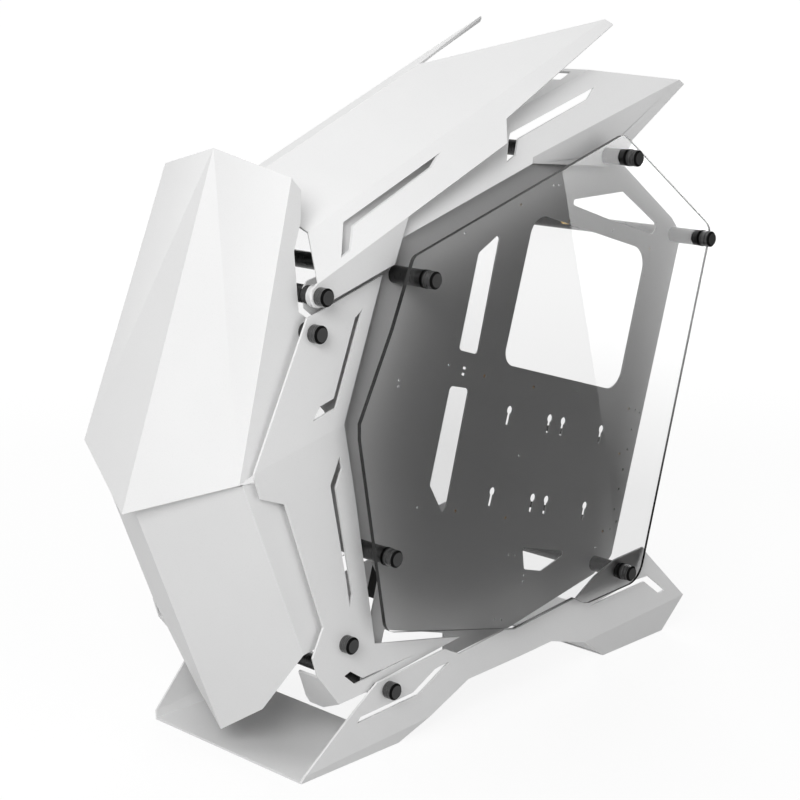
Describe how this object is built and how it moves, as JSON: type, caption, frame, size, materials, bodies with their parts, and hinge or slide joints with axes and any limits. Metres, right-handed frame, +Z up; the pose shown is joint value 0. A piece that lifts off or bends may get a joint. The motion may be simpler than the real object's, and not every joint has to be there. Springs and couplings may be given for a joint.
{
  "type": "atx pc case",
  "caption": "Open-frame tower case of folded light grey sheet panels with a ridged front, a V-notched roof, a leaning motherboard tray, black cross rods and two tinted glass sides.",
  "frame": {"origin": "under the middle of the case, on the ground", "axes": "+Z up, -Y to the front ridge, +X to the cable side with the tray near it, X = 0 on the middle plane"},
  "size_m": [0.2822, 0.6304, 0.6274],
  "materials": {
    "panel": "matt light grey coat",
    "tray": "matt light grey coat",
    "black_metal": "black anodised",
    "tinted_glass": "tinted, clear, polished edges",
    "gasket": "matt",
    "black_plastic": "matt",
    "brass": "turned",
    "bare_steel": "plated",
    "light_washer": "satin"
  },
  "bodies": {
    "case": {"audio_jack": "black_plastic", "base_stand": "panel", "expansion_slot_frame": "black_metal", "frame_thumbscrews_left": "black_metal", "frame_thumbscrews_right": "black_metal", "front_lower_panel": "panel", "front_upper_panel": "panel", "glass_gaskets_left": "gasket", "glass_gaskets_right": "gasket", "glass_left": "tinted_glass", "glass_post_left": "black_metal", "glass_posts_right": "black_metal", "glass_right": "tinted_glass", "glass_thumbscrews_left": "black_metal", "glass_thumbscrews_right": "black_metal", "io_module": "black_plastic", "motherboard_standoffs": "brass", "motherboard_tray": "tray", "panel_spacers": "black_plastic", "psu_bracket": "black_metal", "rod_foot": "black_metal", "rod_front": "black_metal", "rod_low_rear": "black_metal", "rod_mid_front": "black_metal", "rod_rear": "black_metal", "rod_roof": "black_metal", "rod_side": "black_metal", "rod_top_front": "black_metal", "rod_top_rear": "black_metal", "roof_sleeve": "black_metal", "roof_spacers": "black_plastic", "roof_washers": "light_washer", "side_frame_left": "panel", "side_frame_right": "panel", "top_front_panel": "panel", "top_rear_panel": "panel", "usb_shells": "bare_steel"},
    "button": {"power_button": "black_plastic"}
  },
  "joints": [
    {"name": "power_press", "type": "slide", "parent": "case", "child": "button", "axis": [1, 0, 0], "range_m": [0, 0.0015], "stiffness_N_per_m": 400, "springref_m": -0.001}
  ]
}
